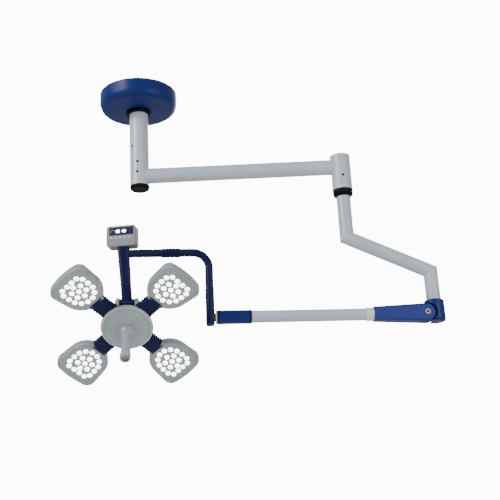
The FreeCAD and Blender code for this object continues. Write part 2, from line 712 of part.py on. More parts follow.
def window_block(grow, y0, y1):
    top = YOKE_TOP_Z + BOX_H - 8
    mid = BOX_X + 2
    return box(mid - WINDOW_W / 2 - grow, mid + WINDOW_W / 2 + grow, y0, y1, top - WINDOW_H - grow, top + grow)


def control_panel():
    front = -BOX_D / 2 + 0.5
    shape = box_outline(BOX_WALL + SLIP, front, front + 4)
    shape = shape.cut(window_block(SLIP, front - 1, front + 2.5))
    shape = shape.cut(window_block(-4, front - 1, front + 5))
    for x in button_spots():
        shape = shape.cut(box(x - BUTTON_W / 2 - GAP, x + BUTTON_W / 2 + GAP, front - 1, front + 5,
                              BUTTON_Z - BUTTON_H / 2 - GAP, BUTTON_Z + BUTTON_H / 2 + GAP))
    return in_box(shape)


def control_window():
    front = -BOX_D / 2 + 0.5
    return in_box(window_block(0, front, front + 2.5))


def control_board():
    front = -BOX_D / 2 + 0.5
    shape = box_outline(BOX_WALL + 5, front + 12, front + 13.6)
    for x in button_spots():
        shape = shape.fuse(box(x - 3, x + 3, front + 10, front + 12, BUTTON_Z - 3, BUTTON_Z + 3))
    for dx in (BOX_W / -2 + 18, BOX_W / 2 - 18):
        for dz in (BOX_H / -2 + 12, BOX_H / 2 - 12):
            post = rod(3, V(BOX_X + dx, front + 13.6, YOKE_TOP_Z + BOX_H / 2 + dz),
                       V(BOX_X + dx, BOX_D / 2 - BOX_WALL, YOKE_TOP_Z + BOX_H / 2 + dz))
            shape = shape.fuse(post)
    return in_box(shape.removeSplitter())


def button(x):
    front = -BOX_D / 2 + 0.5
    cap = box(x - BUTTON_W / 2, x + BUTTON_W / 2, front - 2, front + 6, BUTTON_Z - BUTTON_H / 2,
              BUTTON_Z + BUTTON_H / 2)
    cap = cap.makeFillet(1.2, [e for e in cap.Edges if abs(e.CenterOfMass.y - front + 2) < 0.1])
    flange = box(x - BUTTON_W / 2 - 2, x + BUTTON_W / 2 + 2, front + 4 + GAP, front + 6,
                 BUTTON_Z - BUTTON_H / 2 - 2, BUTTON_Z + BUTTON_H / 2 + 2)
    stem = box(x - 2, x + 2, front + 6, front + 8, BUTTON_Z - 2, BUTTON_Z + 2)
    return in_box(cap.fuse([flange, stem]).removeSplitter())


# ---- lamp head ----

def outline(inner, outer):
    # Rounded triangle round three circles: one near the hub, two at the outer corners.
    (ax, ar), (bx, by, br) = inner, outer
    reach = math.hypot(bx - ax, by)
    turn = math.atan2(by, bx - ax) + math.acos((ar - br) / reach)
    c, s = math.cos(turn), math.sin(turn)

    def corner(angle, sign):
        return V(bx + br * math.cos(angle), sign * (by + br * math.sin(angle)), 0)

    up, low = V(ax + ar * c, ar * s, 0), V(ax + ar * c, -ar * s, 0)
    return Part.Wire([Part.makeLine(corner(0, -1), corner(0, 1)),
                      Part.Arc(corner(0, 1), corner(turn / 2, 1), corner(turn, 1)).toShape(),
                      Part.makeLine(corner(turn, 1), up),
                      Part.Arc(up, V(ax - ar, 0, 0), low).toShape(),
                      Part.makeLine(low, corner(turn, -1)),
                      Part.Arc(corner(turn, -1), corner(turn / 2, -1), corner(0, -1)).toShape()])


def petal_block(inset, z0, z1):
    wire = outline((INNER_C, INNER_R - inset), (OUTER_C, OUTER_T, OUTER_R - inset))
    solid = Part.Face(wire).extrude(V(0, 0, z1 - z0))
    solid.translate(V(PETAL_AT, 0, z0))
    return solid


def canted(shape):
    # A petal tipped so that it faces the head's axis.
    shape = shape.copy()
    shape.rotate(V(PETAL_AT, 0, 0), V(0, 1, 0), -PETAL_CANT)
    return shape


def four(shape):
    # The same piece on each of the four diagonals.
    parts = []
    for k in range(4):
        turned_part = shape.copy()
        turned_part.rotate(V(0, 0, 0), V(0, 0, 1), 45 + 90 * k)
        parts.append(turned_part)
    return Part.makeCompound(parts)


def lens_spots():
    spots = [V(0, 0, 0)]
    for k in range(LENS_INNER_COUNT):
        a = 2 * math.pi * k / LENS_INNER_COUNT
        spots.append(V(LENS_INNER_RING * math.cos(a), LENS_INNER_RING * math.sin(a), 0))
    far = LENS_INNER_RING + 2 * LENS_R + LENS_GAP
    path = outline((INNER_C / 2, far), (OUTER_C - 14, OUTER_T - 16, far - 41))
    spots += path.discretize(Number=LENS_OUTER_COUNT + 1)[:-1]
    return [p + V(PETAL_AT, 0, 0) for p in spots]


def petal_shells():
    shape = petal_block(0, -PETAL_DEPTH, 0)
    back = [e for e in shape.Edges if abs(e.CenterOfMass.z + PETAL_DEPTH) < 0.1]
    shape = shape.makeFillet(12, back)
    shape = shape.cut(petal_block(PETAL_WALL, -14, 1))
    return in_head(four(canted(shape.cut(petal_block(12, -PETAL_DEPTH + PETAL_WALL, 1)))))


def petal_faces():
    shape = petal_block(PETAL_WALL + SLIP, -12, 0)
    shape = shape.cut(petal_block(PETAL_WALL + 3.5, -13, -4))
    for p in lens_spots():
        shape = shape.cut(disc(LENS_R + 0.1, -14, 1, p.x, p.y))
    return in_head(four(canted(shape)))


def petal_boards():
    return in_head(four(canted(petal_block(PETAL_WALL + SLIP, -14, -12))))


def led_lenses():
    lenses = []
    for p in lens_spots():
        r = LENS_R
        lenses.append(turned([(0, -12), (r, -12), (r, -1), (r - 1.6, 0.4), (r - 4, 1.4), (0, 2)], p.x, p.y))
    return in_head(four(canted(Part.makeCompound(lenses))))


def cup_body(wall):
    # Dish behind the rim: a short rim band, a steep cone and a flat back.
    r, low, back = HUB_CUP_R - wall, HUB_CUP_LOW_R - wall * 0.7, HUB_CUP_BACK + wall
    return turned([(0, -8), (r, -8), (r, -14), (low + 2, back + 8), (low - 6, back), (0, back)])


def petal_necks():
    low = NECK_TOP - NECK_T
    shape = box(HUB_CUP_LOW_R, PETAL_AT - 60, -NECK_W / 2, NECK_W / 2, low, NECK_TOP)
    shape = shape.makeFillet(5, [e for e in shape.Edges if abs(e.tangentAt(0).x) > 0.9])
    first, last = HUB_CUP_R + 9, PETAL_AT + INNER_C - INNER_R - 6
    pitch = (last - first) / (NECK_RIBS - 1)
    for k in range(NECK_RIBS):
        x = first + k * pitch
        groove = box(x - 2, x + 2, -NECK_W, NECK_W, low - 5, NECK_TOP + 5)
        core = box(x - 3, x + 3, -NECK_W / 2 + 2, NECK_W / 2 - 2, low + 2, NECK_TOP - 2)
        shape = shape.cut(groove.cut(core))
    shape = shape.cut(cup_body(0)).cut(disc(RIM_R + SLIP, -9, NECK_TOP + 5))
    return in_head(four(shape.cut(canted(petal_block(0, low - 20, NECK_TOP + 20))).removeSplitter()))


def hub_cup():
    shape = cup_body(0)
    for side in (-1, 1):
        x0 = side * (BARREL_W / 2 + GAP)
        x0, x1 = min(x0, x0 + side * EAR_T), max(x0, x0 + side * EAR_T)
        ear = box(x0, x1, HINGE_UP - EAR_R, HINGE_UP + EAR_R, -HINGE_BACK, HUB_CUP_BACK + 16)
        ear = ear.fuse(rod(EAR_R, V(x0, HINGE_UP, -HINGE_BACK), V(x1, HINGE_UP, -HINGE_BACK)))
        shape = shape.fuse(ear)
    pin = rod(TILT_PIN_R + RUN, V(-80, HINGE_UP, -HINGE_BACK), V(80, HINGE_UP, -HINGE_BACK))
    hollow = cup_body(HUB_CUP_WALL).fuse(disc(HUB_CUP_R - HUB_CUP_WALL, -9, 0))
    return in_head(shape.cut(hollow).cut(pin).removeSplitter())


def rim():
    r, bore = RIM_R, RIM_BORE_R
    return in_head(turned([(bore, -8), (r - 1, -8), (r, -6), (r, 0), (r - 1.5, 3), (r - 4.5, 4.5),
                           (bore + 2, 4), (bore, 2.5)]))


def dome():
    r, h, bore = RIM_BORE_R - SLIP, DOME_H, BOSS_R - 6
    outer = [(r, -5), (r, 1.5)] + [(r * math.cos(math.radians(a)), 1.5 + (h - 1.5) * math.sin(math.radians(a)))
                                  for a in (12, 24, 36, 48, 60, 70)]
    outer.append((bore, h))
    inner = [(x - 2.5, z - 3) for x, z in reversed(outer[2:-1])]
    return in_head(turned(outer + [(bore, h - 3)] + inner + [(r - 3, -5)]))


def handle_boss():
    low, top = DOME_H, HANDLE_SEAM
    bore = HANDLE_SHAFT_R + RUN
    return in_head(turned([(bore, low - 8), (BOSS_R - 6 - SLIP, low - 8), (BOSS_R - 6 - SLIP, low), (BOSS_R, low),
                           (BOSS_R, low + 3), (BOSS_R - 4, low + 8), (23, top - 8), (22, top), (bore, top)]))


def handle_grip():
    z, end, r = HANDLE_SEAM + GAP, HANDLE_END, HANDLE_SHAFT_R
    shape = turned([(0, DOME_H - 6), (r, DOME_H - 6), (r, z), (21, z), (21, z + 4), (18.5, z + 10),
                    (18, z + 40), (18.5, end - 40), (19.5, end - 32), (21.5, end - 26), (21.5, end - 4),
                    (19, end), (15, end), (15, end - 10), (0, end - 10)])
    return in_head(shape)


def build():
    os.makedirs("parts", exist_ok=True)
    save("ceiling_plate", ceiling_plate())
    save("flange_bolts", flange_bolts())
    save("column_tube", column_tube())
    save("canopy", canopy())
    save("canopy_collar", canopy_collar())
    save("power_supply", power_supply())
    save("column_spindle", column_spindle())
    save("column_spindle_nut", column_spindle_nut())
    save("column_set_screw", column_set_screw())
    save("main_arm_sleeve", main_arm_sleeve())
    save("swivel_bushes", swivel_bushes())
    save("column_end_cap", column_end_cap())
    save("main_arm_tube", main_arm_tube())
    save("outer_hub", outer_hub())
    save("hub_cap", hub_cap())
    save("brake_screws", brake_screws())
    save("crank_spindle", crank_spindle())
    save("crank_spindle_nut", crank_spindle_nut())
    save("crank_collar", crank_collar())
    save("crank_tube", crank_tube())
    save("crank_bush", crank_bush())
    save("crank_set_screws", crank_set_screws())
    save("knuckle_spindle", knuckle_spindle())
    save("knuckle_housing", knuckle_housing())
    save("pivot_pin", pivot_pin())
    save("pivot_caps", pivot_caps())
    save("arm_cover", arm_cover())
    save("arm_cover_ring", arm_cover_ring())
    save("arm_tube", arm_tube())
    save("front_sleeve", front_sleeve())
    save("bow_bearing", bow_bearing())
    save("nylon_washer", spring_washer())
    save("balance_spring", balance_spring())
    save("spring_adjuster", spring_adjuster())
    save("spring_plunger", spring_plunger())
    save("bow_spindle", bow_spindle())
    save("bow_tube", bow_tube())
    save("yoke_arm", yoke_arm())
    save("yoke_swivel", yoke_swivel())
    save("tilt_pin", tilt_pin())
    save("control_housing", control_housing())
    save("control_panel", control_panel())
    save("control_window", control_window())
    save("control_board", control_board())
    for k, x in enumerate(button_spots()):
        save("button_%d" % (k + 1), button(x))
    save("hub_cup", hub_cup())
    save("hub_rim", rim())
    save("hub_dome", dome())
    save("petal_necks", petal_necks())
    save("petal_shells", petal_shells())
    save("petal_faces", petal_faces())
    save("petal_boards", petal_boards())
    save("led_lenses", led_lenses())
    save("handle_boss", handle_boss())
    save("handle_grip", handle_grip())


build()
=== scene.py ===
import bpy
import bmesh
import json
import math
from mathutils import Matrix, Vector


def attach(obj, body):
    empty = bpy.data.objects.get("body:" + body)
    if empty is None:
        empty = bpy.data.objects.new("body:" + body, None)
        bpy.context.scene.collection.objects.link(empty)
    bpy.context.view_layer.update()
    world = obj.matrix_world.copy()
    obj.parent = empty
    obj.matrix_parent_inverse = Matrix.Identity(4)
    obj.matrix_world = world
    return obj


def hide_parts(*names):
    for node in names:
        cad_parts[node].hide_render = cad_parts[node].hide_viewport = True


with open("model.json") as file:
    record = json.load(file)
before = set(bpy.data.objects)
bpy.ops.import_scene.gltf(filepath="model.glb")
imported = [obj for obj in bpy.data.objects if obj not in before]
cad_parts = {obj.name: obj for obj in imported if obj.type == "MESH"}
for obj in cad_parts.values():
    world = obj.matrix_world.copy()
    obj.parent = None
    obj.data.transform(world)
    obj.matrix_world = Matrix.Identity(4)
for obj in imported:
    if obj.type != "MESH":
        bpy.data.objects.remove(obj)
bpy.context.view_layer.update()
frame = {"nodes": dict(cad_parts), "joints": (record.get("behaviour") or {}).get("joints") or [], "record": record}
NODES = frame["nodes"]
JOINTS = {j["name"]: j for j in frame["joints"]}
SLOT_OF = {p["node"]: p["material_slot"] for p in frame["record"]["subparts"]}
BODY_OF = {n: b for b, names in frame["record"]["behaviour"]["bodies"].items() for n in names}

MM = 0.001
TURN = 2 * math.pi

# Petals: distance of a petal's centre from the hub's axis in millimetres, and its lean in degrees.
PETAL_AT = 250.0
PETAL_CANT = 5.0
# A petal's outline about its own centre: one circle near the hub (x, radius) and one at each outer
# corner (x, y, radius).
PETAL_INNER = (-12.0, 86.0)
PETAL_OUTER = (50.0, 57.0, 35.0)
PETAL_BULGE = 5.0       # bow of the outer side between its corners
LENS_R = 10.5

# Necks between hub and petals, along the petal's direction from the hub's axis
NECK_START = 80.0
NECK_END = 168.0
NECK_RIBS_FROM = 104.0
NECK_RIB_PITCH = 11.5

# Arms and hub, millimetres
COLLAR_WIDTH = 13.0         # from the column's surface outwards
CRANK_BENDS_Z = (-716.0, -883.0)
HANDLE_SEAM = 60.0          # joint line of the handle in front of the hub's centre
BOSS_BASE = 27.0            # where the boss stands on the dome
NECK_BORE = 12.6            # of the front sleeve's end and its washer, round the bow's spindle

# Camera and studio
CAMERA_AT = (0.38767, -3.5867, -1.92508)
CAMERA_AIM = (1.17, 18.14, -3.15)       # azimuth from +Y, pitch and roll, in degrees
CAMERA_LENS = 64.32048
CAMERA_SENSOR = 36.0
SOFT_LIGHT = 0.55
BACKDROP_LIGHT = 12.0
FLOOR_Z = -2.7
FLOOR_HALF = 6.0


# ---- frames taken from the joints; each one counts in millimetres ----

def joint_at(name):
    return Vector(JOINTS[name]["pos_m"])


def joint_axis(name):
    return Vector(JOINTS[name]["axis"]).normalized()


def basis(origin, x, y, z):
    m = Matrix((x, y, z)).transposed().to_4x4()
    m.translation = origin
    return m


def in_mm(space):
    return space @ Matrix.Scale(MM, 4)


UP = Vector((0, 0, 1))
ARM_OUT = -joint_axis("bow_turn")
ARM_Y = joint_axis("arm_tilt")
ARM_UP = ARM_Y.cross(ARM_OUT)
FACE_N = joint_axis("handle_turn")
FACE_X = joint_axis("head_tilt")
KEY_IN = joint_axis("key_1_press")

COLUMN_AXIS = Vector((0, 0, 0))
HUB_AXIS = Vector((joint_at("outer_hub_turn").x, 0, 0))
COLUMN = in_mm(Matrix.Translation(COLUMN_AXIS))
HUB = in_mm(Matrix.Translation(HUB_AXIS))
ARM = in_mm(basis(joint_at("arm_tilt"), ARM_UP, ARM_Y, ARM_OUT))
YOKE = in_mm(basis(joint_at("head_turn"), -ARM_OUT, ARM_Y, ARM_UP))
BOX = in_mm(basis(joint_at("head_turn"), KEY_IN.cross(ARM_UP), KEY_IN, ARM_UP))
HEAD = in_mm(basis(joint_at("handle_turn") - FACE_N * HANDLE_SEAM * MM, FACE_X, FACE_N.cross(FACE_X), FACE_N))


def span(node, space):
    # Lowest and highest corners of a CAD node along a frame's own axes.
    back = space.inverted()
    points = [back @ v.co for v in NODES[node].data.vertices]
    low = Vector([min(p[i] for p in points) for i in range(3)])
    high = Vector([max(p[i] for p in points) for i in range(3)])
    return low, high


def islands(node):
    # Centre of each separate solid in a CAD node.
    bm = bmesh.new()
    bm.from_mesh(NODES[node].data)
    bmesh.ops.remove_doubles(bm, verts=bm.verts, dist=1e-6)
    bm.verts.ensure_lookup_table()
    seen, centres = set(), []
    for first in bm.verts:
        if first in seen:
            continue
        group, stack = [], [first]
        seen.add(first)
        while stack:
            v = stack.pop()
            group.append(v.co.copy())
            for edge in v.link_edges:
                other = edge.other_vert(v)
                if other not in seen:
                    seen.add(other)
                    stack.append(other)
        low = Vector([min(p[i] for p in group) for i in range(3)])
        high = Vector([max(p[i] for p in group) for i in range(3)])
        centres.append((low + high) / 2)
    bm.free()
    return centres


# ---- materials ----

def nodes_of(name):
    mat = bpy.data.materials.new(name)
    mat.use_nodes = True
    tree = mat.node_tree
    return mat, tree, tree.nodes["Principled BSDF"]


def paint(name, colour, rough=0.32, coat=0.25, grain=900.0, bump=0.04, mottle=0.05, metal=0.0, spec=0.5):
    # Powder coat or moulded surface: fine orange peel, faint colour drift and uneven gloss.
    mat, tree, shader = nodes_of(name)
    link = tree.links.new
    place = tree.nodes.new("ShaderNodeTexCoord")
    peel = tree.nodes.new("ShaderNodeTexNoise")
    peel.inputs["Scale"].default_value = grain
    peel.inputs["Detail"].default_value = 3.0
    link(place.outputs["Object"], peel.inputs["Vector"])
    relief = tree.nodes.new("ShaderNodeBump")
    relief.inputs["Strength"].default_value = bump
    relief.inputs["Distance"].default_value = 0.001
    link(peel.outputs["Fac"], relief.inputs["Height"])
    link(relief.outputs["Normal"], shader.inputs["Normal"])
    drift = tree.nodes.new("ShaderNodeTexNoise")
    drift.inputs["Scale"].default_value = 14.0
    drift.inputs["Detail"].default_value = 4.0
    link(place.outputs["Object"], drift.inputs["Vector"])
    ramp = tree.nodes.new("ShaderNodeValToRGB")
    dark = [c * (1 - mottle) for c in colour]
    light = [min(1.0, c * (1 + mottle)) for c in colour]
    ramp.color_ramp.elements[0].position = 0.3
    ramp.color_ramp.elements[1].position = 0.7
    ramp.color_ramp.elements[0].color = (*dark, 1)
    ramp.color_ramp.elements[1].color = (*light, 1)
    link(drift.outputs["Fac"], ramp.inputs["Fac"])
    # Edges carry a little wear, found from the surface's own curvature.
    worn = tree.nodes.new("ShaderNodeNewGeometry")
    edge = tree.nodes.new("ShaderNodeMapRange")
    edge.inputs["From Min"].default_value = 0.54
    edge.inputs["From Max"].default_value = 0.66
    edge.inputs["To Max"].default_value = 0.05
    link(worn.outputs["Pointiness"], edge.inputs["Value"])
    mix = tree.nodes.new("ShaderNodeMix")
    mix.data_type = "RGBA"
    mix.inputs["B"].default_value = (*[c * 0.6 + 0.25 for c in colour], 1)
    link(edge.outputs["Result"], mix.inputs["Factor"])
    link(ramp.outputs["Color"], mix.inputs["A"])
    link(mix.outputs["Result"], shader.inputs["Base Color"])
    gloss = tree.nodes.new("ShaderNodeMapRange")
    gloss.inputs["From Min"].default_value = 0.3
    gloss.inputs["From Max"].default_value = 0.7
    gloss.inputs["To Min"].default_value = rough * 0.85
    gloss.inputs["To Max"].default_value = rough * 1.2
    link(drift.outputs["Fac"], gloss.inputs["Value"])
    link(gloss.outputs["Result"], shader.inputs["Roughness"])
    shader.inputs["Metallic"].default_value = metal
    shader.inputs["Specular IOR Level"].default_value = spec
    shader.inputs["Coat Weight"].default_value = coat
    shader.inputs["Coat Roughness"].default_value = 0.12
    return mat


def glow(name, colour, strength, base=(0.9, 0.9, 0.88), rough=0.15):
    # Lit lens: bright through, with a faint ripple in the moulding.
    mat, tree, shader = nodes_of(name)
    link = tree.links.new
    place = tree.nodes.new("ShaderNodeTexCoord")
    ripple = tree.nodes.new("ShaderNodeTexNoise")
    ripple.inputs["Scale"].default_value = 260.0
    link(place.outputs["Object"], ripple.inputs["Vector"])
    relief = tree.nodes.new("ShaderNodeBump")
    relief.inputs["Strength"].default_value = 0.05
    relief.inputs["Distance"].default_value = 0.001
    link(ripple.outputs["Fac"], relief.inputs["Height"])
    link(relief.outputs["Normal"], shader.inputs["Normal"])
    shader.inputs["Base Color"].default_value = (*base, 1)
    shader.inputs["Roughness"].default_value = rough
    shader.inputs["Coat Weight"].default_value = 1.0
    shader.inputs["Emission Color"].default_value = (*colour, 1)
    shader.inputs["Emission Strength"].default_value = strength
    return mat


MAT = {
    "grey_paint": paint("grey_paint", (0.41, 0.46, 0.52), 0.38, coat=0.1),
    "blue_paint": paint("blue_paint", (0.003, 0.014, 0.11), 0.40, coat=0.0, spec=0.2),
    "blue_plastic": paint("blue_plastic", (0.010, 0.022, 0.16), 0.40, coat=0.0, grain=1400.0, spec=0.2),
    "navy_paint": paint("navy_paint", (0.004, 0.006, 0.045), 0.36, coat=0.0, spec=0.14),
    "black_plastic": paint("black_plastic", (0.003, 0.003, 0.004), 0.5, coat=0.0, grain=1600.0, spec=0.08),
    "steel": paint("steel", (0.52, 0.52, 0.53), 0.28, coat=0.0, grain=1800.0, metal=1.0),
    "dark_steel": paint("dark_steel", (0.05, 0.04, 0.04), 0.35, coat=0.0, grain=1800.0, metal=0.8),
    "bush_plastic": paint("bush_plastic", (0.62, 0.6, 0.5), 0.5, coat=0.0),
    "cream_plastic": paint("cream_plastic", (0.66, 0.66, 0.56), 0.35),
    "head_grey": paint("head_grey", (0.23, 0.27, 0.29), 0.40, coat=0.05),
    "shell_grey": paint("shell_grey", (0.27, 0.315, 0.33), 0.36, coat=0.15),
    "box_grey": paint("box_grey", (0.19, 0.205, 0.21), 0.5, coat=0.0, grain=1500.0, bump=0.1),
    "window": paint("window", (0.003, 0.004, 0.05), 0.15, coat=0.2, bump=0.0, spec=0.2),
    "circuit": paint("circuit", (0.01, 0.13, 0.05), 0.4, coat=0.3),
    "lens": glow("lens", (1.0, 0.985, 0.96), 7.0),
    "key": paint("key", (0.55, 0.55, 0.50), 0.5, coat=0.0, grain=1600.0),
}
CORE = glow("lens_core", (1.0, 0.90, 0.66), 2.2)


def smooth(mesh, degrees=32):
    mesh.shade_smooth()
    mesh.set_sharp_from_angle(angle=math.radians(degrees))


for node_name, node in NODES.items():
    node.data.materials.clear()
    node.data.materials.append(MAT[SLOT_OF[node_name]])
    smooth(node.data)


# ---- mesh building ----

def piece(name, bm, slot, body, *replaced, degrees=32, extra=()):
    bmesh.ops.remove_doubles(bm, verts=bm.verts, dist=1e-7)
    bmesh.ops.recalc_face_normals(bm, faces=bm.faces)
    mesh = bpy.data.meshes.new(name)
    bm.to_mesh(mesh)
    bm.free()
    for mat in (MAT[slot], *extra):
        mesh.materials.append(mat)
    smooth(mesh, degrees)
    ob = bpy.data.objects.new(name, mesh)
    bpy.context.scene.collection.objects.link(ob)
    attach(ob, body)
    if replaced:
        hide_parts(*replaced)
    return ob


def softened(outline, radius, steps=4):
    # Closed (radius, height) outline with each corner off the axis rounded.
    points = [Vector(p) for p in outline]
    out = []
    for i, p in enumerate(points):
        if p.x < 1e-6:
            out.append(p)
            continue
        a, b = points[i - 1] - p, points[(i + 1) % len(points)] - p
        cut = min(radius, a.length * 0.45, b.length * 0.45)
        start, end = p + a.normalized() * cut, p + b.normalized() * cut
        for k in range(steps + 1):
            t = k / steps
            out.append(start * (1 - t) ** 2 + p * 2 * t * (1 - t) + end * t ** 2)
    return out


def bridge(bm, a, b):
    # Faces between two rings; a ring of one vertex closes to a fan.
    if len(a) == 1 and len(b) == 1:
        return
    count = max(len(a), len(b))
    for k in range(count):
        n = (k + 1) % count
        if len(a) == 1:
            bm.faces.new((a[0], b[n], b[k]))
        elif len(b) == 1:
            bm.faces.new((a[k], a[n], b[0]))
        else:
            bm.faces.new((a[k], a[n], b[n], b[k]))


def lathe(bm, space, outline, count=96, flutes=None):
    # Solid of revolution about the frame's z; flutes(angle, r, z) may change the radius.
    rings = []
    for r, z in outline:
        if r < 1e-6:
            rings.append([bm.verts.new(space @ Vector((0, 0, z)))])
            continue
        ring = []
        for k in range(count):
            a = TURN * k / count
            rr = flutes(a, r, z) if flutes else r
            ring.append(bm.verts.new(space @ Vector((rr * math.cos(a), rr * math.sin(a), z))))
        rings.append(ring)
    for i, ring in enumerate(rings):
        bridge(bm, ring, rings[(i + 1) % len(rings)])


def turned(name, space, outline, slot, body, *replaced, radius=1.0, count=96):
    bm = bmesh.new()
    lathe(bm, space, softened(outline, radius), count)
    return piece(name, bm, slot, body, *replaced)


def loft(bm, loops, cap_end=True):
    # Skin over loops with the same number of points, closed at its start.
    rings = [[bm.verts.new(p) for p in loop] for loop in loops]
    for a, b in zip(rings, rings[1:]):
        bridge(bm, a, b)
    bm.faces.new(rings[0])
    if cap_end:
        bm.faces.new(list(reversed(rings[-1])))
    return rings


def rounded_box(low, high, corner, steps=6):
    # Loop of a rounded rectangle, as pairs of coordinates.
    cx, cz = (low[0] + high[0]) / 2, (low[1] + high[1]) / 2
    w, h = (high[0] - low[0]) / 2, (high[1] - low[1]) / 2
    corner = max(0.05, min(corner, w, h))
    loop = []
    for k, (sx, sz) in enumerate(((1, 1), (-1, 1), (-1, -1), (1, -1))):
        for i in range(steps + 1):
            a = math.radians(90) * (k + i / steps)
            loop.append((cx + sx * (w - corner) + corner * math.cos(a),
                         cz + sz * (h - corner) + corner * math.sin(a)))
    return loop


# ---- ceiling unit and swivels ----

def canopy():
    # Thin shell: upright side, rounded lower edge and a nearly flat underside.
    low, high = span("canopy", COLUMN)
    r, base, neck = high.x, low.z, 43.0
    side_end = base * 0.34
    curve = [(r, -1), (r, side_end)]
    for k in range(1, 13):
        a = math.radians(90) * k / 12
        curve.append((r - 30 * (1 - math.cos(a)) ** 1.4, side_end + (base + 7 - side_end) * math.sin(a)))
    outer = curve + [(r - 60, base + 5), (neck, base + 1)]
    inner = [(x - 2.2, z + 2.2) for x, z in reversed(outer[1:-1])]
    loop = outer + [(neck, base + 3.4)] + inner + [(r - 2.2, -1)]
    bm = bmesh.new()
    lathe(bm, COLUMN, loop, 128)
    piece("canopy_skin", bm, "blue_paint", "ceiling_mount", "canopy", degrees=40)


def collar():
    # Ring that closes the canopy round the column, with a chamfered lower edge.
    low, high = span("canopy_collar", COLUMN)
    r, lip, top = high.x, 2.5, high.z - 0.4
    bore = r - COLLAR_WIDTH
    outline = [(bore, low.z), (r - lip, low.z), (r, low.z + lip), (r, top), (bore, top)]
    turned("collar_ring", COLUMN, outline, SLOT_OF["canopy_collar"], "ceiling_mount", "canopy_collar",
           radius=1.6)


def dished_cap(name, node, space, body, up):
    # Shallow domed end cap with a raised lip.
    low, high = span(node, space)
    r, a, b = high.x, low.z, high.z
    if up:
        outline = [(0, a), (r * 0.8, a), (r * 0.87, b - 6.5), (r, b - 6.5), (r, b - 4), (r * 0.93, b - 2.4),
                   (r * 0.62, b - 0.6), (0, b)]
    else:
        outline = [(0, b - 4), (r * 0.9, b - 4), (r * 0.93, b), (r, b), (r, a + 7), (r * 0.95, a + 2.6),
                   (r * 0.84, a), (r * 0.5, a + 0.6), (0, a + 1)]
    turned(name, space, outline, SLOT_OF[node], body, node, radius=2.0)


def weld(name, foot, along, big, small):
    # Bead where the level arm meets an upright tube; z runs along the arm, away from that tube.
    arm_z = Vector((0, 0, joint_at("column_turn").z))
    space = in_mm(basis(foot + arm_z, UP, Vector((0, 1, 0)), along))
    bm = bmesh.new()
    count, sides, bead = 96, 8, 1.7
    rings = []
    for k in range(count):
        a = TURN * k / count
        y, z = small * math.cos(a), small * math.sin(a)
        centre = Vector((z, y, math.sqrt(big * big - y * y)))
        lift = Vector((z, y, 0)).normalized()
        thick = bead * (1 + 0.16 * math.cos(36 * a))
        ring = []
        for i in range(sides):
            t = TURN * i / sides
            ring.append(bm.verts.new(space @ (centre + (lift * math.cos(t) + UP * math.sin(t)) * thick)))
        rings.append(ring)
    for i, ring in enumerate(rings):
        bridge(bm, ring, rings[(i + 1) % count])
    piece(name, bm, "grey_paint", "main_arm", degrees=60)


def mitre_beads():
    # Ground weld lines round the crank's two mitred bends.
    low, high = span("crank_tube", HUB)
    run = joint_at("knuckle_turn").x / MM - joint_at("outer_hub_turn").x / MM
    r = (high.y - low.y) / 2
    bm = bmesh.new()
    z1, z2 = CRANK_BENDS_Z
    k = math.tan(math.atan2(run, z1 - z2) / 2)
    for x0, z0 in ((0, z1), (run, z2)):
        rings = []
        for i in range(80):
            a = TURN * i / 80
            out = Vector((math.cos(a), math.sin(a), 0))
            centre = Vector((x0 + r * out.x, r * out.y, z0 + k * r * out.x))
            rings.append([bm.verts.new(HUB @ (centre + (out * math.cos(t) + UP * math.sin(t)) * 0.9))
                          for t in (TURN * j / 6 for j in range(6))])
        for i, ring in enumerate(rings):
            bridge(bm, ring, rings[(i + 1) % 80])
    piece("mitre_beads", bm, "grey_paint", "crank_arm", degrees=60)


def socket_screw(bm, centre, out, r, depth):
    # Cup-point set screw seen from its socket end, centre on the outer face.
    side = out.cross(UP if abs(out.z) < 0.9 else Vector((1, 0, 0))).normalized()
    space = in_mm(basis(centre, side, out.cross(side), out))
    outline = [(0, -depth), (r, -depth), (r, -1.0), (r - 1.0, 0), (r * 0.62, 0), (r * 0.55, -0.5),
               (r * 0.5, -r * 0.9), (0, -r * 1.05)]

    def hexagon(a, radius, z):
        if radius > r * 0.6:
            return radius
        flat = (a % (TURN / 6)) - TURN / 12
        return radius * math.cos(TURN / 12) / math.cos(flat)

    lathe(bm, space, outline, 48, hexagon)


def screws(name, node, axis_of, r):
    # One socket screw for each solid of the node, level with the node's outer face.
    bm = bmesh.new()
    for centre in islands(node):
        hub = axis_of(centre)
        out = Vector((centre.x - hub.x, centre.y - hub.y, 0))
        reach = max((v.co - Vector((hub.x, hub.y, v.co.z))).length for v in NODES[node].data.vertices
                    if (v.co - centre).length < 0.02)
        out.normalize()
        face = Vector((hub.x, hub.y, centre.z)) + out * (reach - 0.2 * MM)
        socket_screw(bm, face, out, r - 0.05, 9.0)
    piece(name, bm, SLOT_OF[node], BODY_OF[node], node, degrees=28)


def nearest_swivel(centre):
    return COLUMN_AXIS if centre.x < HUB_AXIS.x / 2 else HUB_AXIS


# ---- spring arm ----

